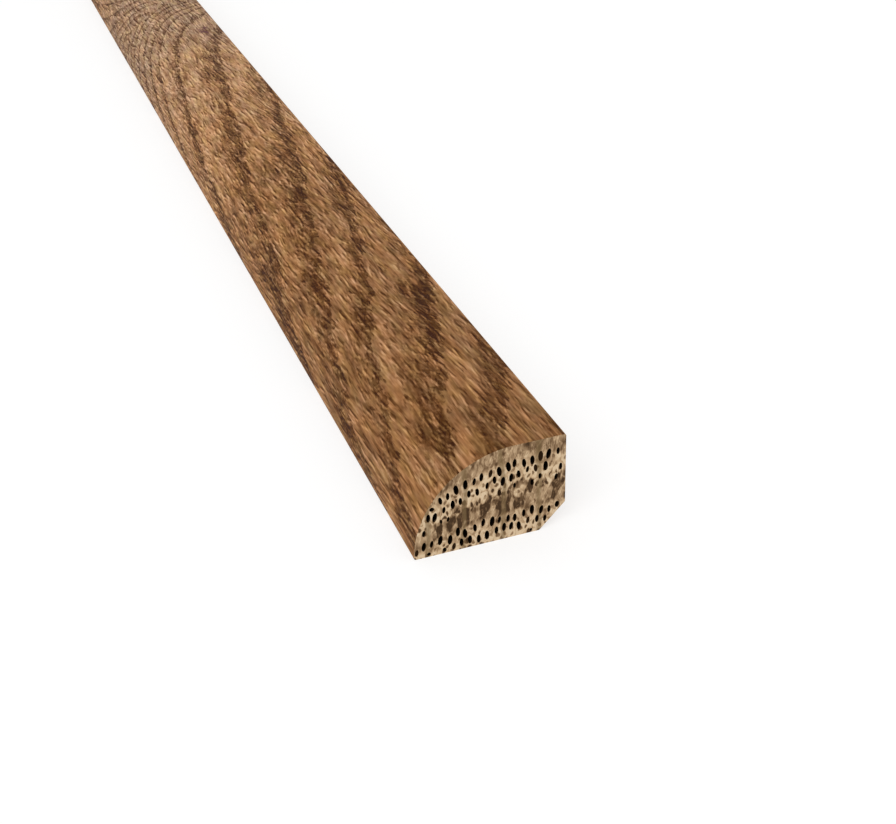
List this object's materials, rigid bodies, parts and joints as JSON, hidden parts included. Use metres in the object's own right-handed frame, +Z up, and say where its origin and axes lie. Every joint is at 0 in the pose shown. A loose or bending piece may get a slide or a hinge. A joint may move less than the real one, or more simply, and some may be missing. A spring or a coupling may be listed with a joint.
{
  "type": "shoe moulding",
  "caption": "Straight stick of hardwood shoe moulding: quarter-round nose, flat ledge, flat backs at right angles and a 45 degree relief along the hidden corner.",
  "frame": {"origin": "middle of the stick's bounding box in X and Y, on the plane of the wide back that it lies on", "axes": "+Y along the stick, +Z up from the wide back, +X across the section towards the narrow back"},
  "size_m": [0.019, 1.9812, 0.0127],
  "materials": {
    "stained_oak": "brown stain on wire-brushed oak, satin; the cut ends and the backs are bare wood"
  },
  "bodies": {
    "root": {"shoe_moulding": "stained_oak"}
  },
  "joints": []
}
